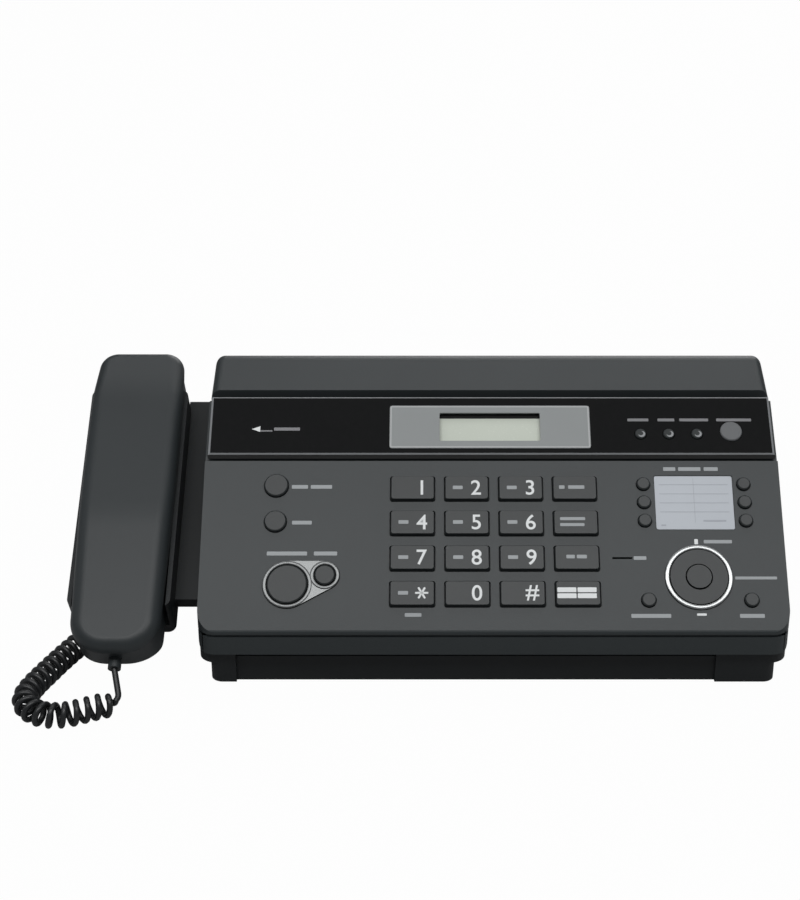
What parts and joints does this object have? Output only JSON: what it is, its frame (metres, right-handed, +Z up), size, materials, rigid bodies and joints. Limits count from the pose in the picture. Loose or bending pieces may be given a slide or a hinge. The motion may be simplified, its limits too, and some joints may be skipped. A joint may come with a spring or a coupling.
{
  "type": "desktop fax machine",
  "caption": "Desktop fax machine with a sloping hinged key panel, a display band, a hinged crowned top cover over a paper roll, and a corded handset in a side cradle.",
  "frame": {"origin": "on the table under the middle of the machine's outline, cord left out", "axes": "+X to the machine's right, +Y to its back, +Z up"},
  "size_m": [0.3807, 0.269, 0.1246],
  "materials": {
    "case": "fine satin texture",
    "panel": "satin",
    "band": "polished",
    "silver": "silver lacquer",
    "bright": "bright plated plastic",
    "key": "satin",
    "display": "liquid crystal glass",
    "card": "uncoated",
    "frame": "moulded",
    "board": "circuit board",
    "metal": "plated",
    "gear": "moulded",
    "roller": "ground",
    "rubber": "matt",
    "paper": "thermal paper",
    "cord": "satin"
  },
  "bodies": {
    "base": {"lower_cabinet": "case", "rubber_feet": "rubber", "inner_frame": "frame", "handset_cradle": "case", "image_sensor": "frame", "thermal_head": "metal", "drive_motor": "metal", "main_board": "board", "handset_cord": "cord"},
    "cover": {"top_cover": "case"},
    "panel": {"operation_panel": "panel", "panel_guide": "frame", "panel_board": "board", "display_band": "band", "display_plate": "silver", "lcd_module": "display", "directory_card": "card", "key_rings": "bright"},
    "handset": {"handset_back": "case", "handset_front": "case"},
    "hook": {"hook_plunger": "frame"},
    "roll": {"paper_roll": "paper"},
    "platen": {"platen_roller": "roller"},
    "pinion": {"motor_pinion": "gear"},
    "feed": {"feed_roller": "roller"},
    "eject": {"eject_roller": "roller"},
    "key_1": {"key_1": "key"},
    "key_2": {"key_2": "key"},
    "key_3": {"key_3": "key"},
    "key_function_1": {"key_function_1": "key"},
    "key_4": {"key_4": "key"},
    "key_5": {"key_5": "key"},
    "key_6": {"key_6": "key"},
    "key_function_2": {"key_function_2": "key"},
    "key_7": {"key_7": "key"},
    "key_8": {"key_8": "key"},
    "key_9": {"key_9": "key"},
    "key_function_3": {"key_function_3": "key"},
    "key_star": {"key_star": "key"},
    "key_0": {"key_0": "key"},
    "key_hash": {"key_hash": "key"},
    "key_function_4": {"key_function_4": "key"},
    "key_caller_list": {"key_caller_list": "key"},
    "key_stop": {"key_stop": "key"},
    "key_start": {"key_start": "key"},
    "key_copy": {"key_copy": "key"},
    "key_broadcast": {"key_broadcast": "key"},
    "key_menu": {"key_menu": "key"},
    "key_one_touch_1": {"key_one_touch_1": "key"},
    "key_one_touch_2": {"key_one_touch_2": "key"},
    "key_one_touch_3": {"key_one_touch_3": "key"},
    "key_one_touch_4": {"key_one_touch_4": "key"},
    "key_one_touch_5": {"key_one_touch_5": "key"},
    "key_one_touch_6": {"key_one_touch_6": "key"},
    "key_record": {"key_record": "key"},
    "key_erase": {"key_erase": "key"},
    "key_playback": {"key_playback": "key"},
    "key_auto_answer": {"key_auto_answer": "silver"},
    "key_navigator": {"key_navigator": "key"},
    "key_set": {"key_set": "key"}
  },
  "joints": [
    {"name": "cover_hinge", "type": "hinge", "parent": "base", "child": "cover", "pos_m": [0.0325, 0.11258, 0.0673], "axis": [-1, 0, 0], "range_deg": [0, 75]},
    {"name": "panel_hinge", "type": "hinge", "parent": "base", "child": "panel", "pos_m": [0.0325, -0.00727, 0.10396], "axis": [-1, 0, 0], "range_deg": [0, 30]},
    {"name": "handset_lift", "type": "slide", "parent": "base", "child": "handset", "axis": [0, -0.5299, 0.848], "range_m": [0, 0.07]},
    {"name": "hook_travel", "type": "slide", "parent": "base", "child": "hook", "axis": [0, -0.5299, 0.848], "range_m": [0, 0.004]},
    {"name": "roll_spin", "type": "hinge", "parent": "base", "child": "roll", "pos_m": [0.0325, 0.06858, 0.0624], "axis": [1, 0, 0], "continuous": true},
    {"name": "platen_spin", "type": "hinge", "parent": "base", "child": "platen", "pos_m": [0.0325, 0.01658, 0.102], "axis": [1, 0, 0], "continuous": true},
    {"name": "pinion_spin", "type": "hinge", "parent": "base", "child": "pinion", "pos_m": [0.1525, 0.02233, 0.08621], "axis": [1, 0, 0], "continuous": true},
    {"name": "feed_spin", "type": "hinge", "parent": "base", "child": "feed", "pos_m": [0.0325, -0.03834, 0.06615], "axis": [1, 0, 0], "continuous": true},
    {"name": "eject_spin", "type": "hinge", "parent": "base", "child": "eject", "pos_m": [0.0325, -0.08238, 0.02839], "axis": [1, 0, 0], "continuous": true},
    {"name": "navigator_rock", "type": "hinge", "parent": "panel", "child": "key_navigator", "pos_m": [0.1346, -0.08474, 0.04943], "axis": [1, 0, 0], "range_deg": [-2.5, 2.5], "stiffness_Nm_per_rad": 0.15},
    {"name": "press_1", "type": "slide", "parent": "panel", "child": "key_1", "axis": [0, 0.6639, -0.7478], "range_m": [0, 0.0012], "stiffness_N_per_m": 300, "springref_m": -0.001},
    {"name": "press_2", "type": "slide", "parent": "panel", "child": "key_2", "axis": [0, 0.6639, -0.7478], "range_m": [0, 0.0012], "stiffness_N_per_m": 300, "springref_m": -0.001},
    {"name": "press_3", "type": "slide", "parent": "panel", "child": "key_3", "axis": [0, 0.6639, -0.7478], "range_m": [0, 0.0012], "stiffness_N_per_m": 300, "springref_m": -0.001},
    {"name": "press_function_1", "type": "slide", "parent": "panel", "child": "key_function_1", "axis": [0, 0.6639, -0.7478], "range_m": [0, 0.0012], "stiffness_N_per_m": 300, "springref_m": -0.001},
    {"name": "press_4", "type": "slide", "parent": "panel", "child": "key_4", "axis": [0, 0.6639, -0.7478], "range_m": [0, 0.0012], "stiffness_N_per_m": 300, "springref_m": -0.001},
    {"name": "press_5", "type": "slide", "parent": "panel", "child": "key_5", "axis": [0, 0.6639, -0.7478], "range_m": [0, 0.0012], "stiffness_N_per_m": 300, "springref_m": -0.001},
    {"name": "press_6", "type": "slide", "parent": "panel", "child": "key_6", "axis": [0, 0.6639, -0.7478], "range_m": [0, 0.0012], "stiffness_N_per_m": 300, "springref_m": -0.001},
    {"name": "press_function_2", "type": "slide", "parent": "panel", "child": "key_function_2", "axis": [0, 0.6639, -0.7478], "range_m": [0, 0.0012], "stiffness_N_per_m": 300, "springref_m": -0.001},
    {"name": "press_7", "type": "slide", "parent": "panel", "child": "key_7", "axis": [0, 0.6639, -0.7478], "range_m": [0, 0.0012], "stiffness_N_per_m": 300, "springref_m": -0.001},
    {"name": "press_8", "type": "slide", "parent": "panel", "child": "key_8", "axis": [0, 0.6639, -0.7478], "range_m": [0, 0.0012], "stiffness_N_per_m": 300, "springref_m": -0.001},
    {"name": "press_9", "type": "slide", "parent": "panel", "child": "key_9", "axis": [0, 0.6639, -0.7478], "range_m": [0, 0.0012], "stiffness_N_per_m": 300, "springref_m": -0.001},
    {"name": "press_function_3", "type": "slide", "parent": "panel", "child": "key_function_3", "axis": [0, 0.6639, -0.7478], "range_m": [0, 0.0012], "stiffness_N_per_m": 300, "springref_m": -0.001},
    {"name": "press_star", "type": "slide", "parent": "panel", "child": "key_star", "axis": [0, 0.6639, -0.7478], "range_m": [0, 0.0012], "stiffness_N_per_m": 300, "springref_m": -0.001},
    {"name": "press_0", "type": "slide", "parent": "panel", "child": "key_0", "axis": [0, 0.6639, -0.7478], "range_m": [0, 0.0012], "stiffness_N_per_m": 300, "springref_m": -0.001},
    {"name": "press_hash", "type": "slide", "parent": "panel", "child": "key_hash", "axis": [0, 0.6639, -0.7478], "range_m": [0, 0.0012], "stiffness_N_per_m": 300, "springref_m": -0.001},
    {"name": "press_function_4", "type": "slide", "parent": "panel", "child": "key_function_4", "axis": [0, 0.6639, -0.7478], "range_m": [0, 0.0012], "stiffness_N_per_m": 300, "springref_m": -0.001},
    {"name": "press_caller_list", "type": "slide", "parent": "panel", "child": "key_caller_list", "axis": [0, 0.6639, -0.7478], "range_m": [0, 0.0012], "stiffness_N_per_m": 300, "springref_m": -0.001},
    {"name": "press_stop", "type": "slide", "parent": "panel", "child": "key_stop", "axis": [0, 0.6639, -0.7478], "range_m": [0, 0.0012], "stiffness_N_per_m": 300, "springref_m": -0.001},
    {"name": "press_start", "type": "slide", "parent": "panel", "child": "key_start", "axis": [0, 0.6639, -0.7478], "range_m": [0, 0.0012], "stiffness_N_per_m": 300, "springref_m": -0.001},
    {"name": "press_copy", "type": "slide", "parent": "panel", "child": "key_copy", "axis": [0, 0.6639, -0.7478], "range_m": [0, 0.0012], "stiffness_N_per_m": 300, "springref_m": -0.001},
    {"name": "press_broadcast", "type": "slide", "parent": "panel", "child": "key_broadcast", "axis": [0, 0.6639, -0.7478], "range_m": [0, 0.0012], "stiffness_N_per_m": 300, "springref_m": -0.001},
    {"name": "press_menu", "type": "slide", "parent": "panel", "child": "key_menu", "axis": [0, 0.6639, -0.7478], "range_m": [0, 0.0012], "stiffness_N_per_m": 300, "springref_m": -0.001},
    {"name": "press_one_touch_1", "type": "slide", "parent": "panel", "child": "key_one_touch_1", "axis": [0, 0.6639, -0.7478], "range_m": [0, 0.0012], "stiffness_N_per_m": 300, "springref_m": -0.001},
    {"name": "press_one_touch_2", "type": "slide", "parent": "panel", "child": "key_one_touch_2", "axis": [0, 0.6639, -0.7478], "range_m": [0, 0.0012], "stiffness_N_per_m": 300, "springref_m": -0.001},
    {"name": "press_one_touch_3", "type": "slide", "parent": "panel", "child": "key_one_touch_3", "axis": [0, 0.6639, -0.7478], "range_m": [0, 0.0012], "stiffness_N_per_m": 300, "springref_m": -0.001},
    {"name": "press_one_touch_4", "type": "slide", "parent": "panel", "child": "key_one_touch_4", "axis": [0, 0.6639, -0.7478], "range_m": [0, 0.0012], "stiffness_N_per_m": 300, "springref_m": -0.001},
    {"name": "press_one_touch_5", "type": "slide", "parent": "panel", "child": "key_one_touch_5", "axis": [0, 0.6639, -0.7478], "range_m": [0, 0.0012], "stiffness_N_per_m": 300, "springref_m": -0.001},
    {"name": "press_one_touch_6", "type": "slide", "parent": "panel", "child": "key_one_touch_6", "axis": [0, 0.6639, -0.7478], "range_m": [0, 0.0012], "stiffness_N_per_m": 300, "springref_m": -0.001},
    {"name": "press_record", "type": "slide", "parent": "panel", "child": "key_record", "axis": [0, 0.5693, -0.8221], "range_m": [0, 0.0012], "stiffness_N_per_m": 300, "springref_m": -0.001},
    {"name": "press_erase", "type": "slide", "parent": "panel", "child": "key_erase", "axis": [0, 0.5693, -0.8221], "range_m": [0, 0.0012], "stiffness_N_per_m": 300, "springref_m": -0.001},
    {"name": "press_playback", "type": "slide", "parent": "panel", "child": "key_playback", "axis": [0, 0.5693, -0.8221], "range_m": [0, 0.0012], "stiffness_N_per_m": 300, "springref_m": -0.001},
    {"name": "press_auto_answer", "type": "slide", "parent": "panel", "child": "key_auto_answer", "axis": [0, 0.5693, -0.8221], "range_m": [0, 0.0012], "stiffness_N_per_m": 300, "springref_m": -0.001},
    {"name": "press_set", "type": "slide", "parent": "panel", "child": "key_set", "axis": [0, 0.6639, -0.7478], "range_m": [0, 0.0012], "stiffness_N_per_m": 300, "springref_m": -0.001}
  ],
  "couplings": [
    {"joint": "hook_travel", "follows": "handset_lift", "ratio": 0.057143},
    {"joint": "pinion_spin", "follows": "platen_spin", "ratio": -2.5},
    {"joint": "eject_spin", "follows": "feed_spin", "ratio": 1.1667}
  ]
}
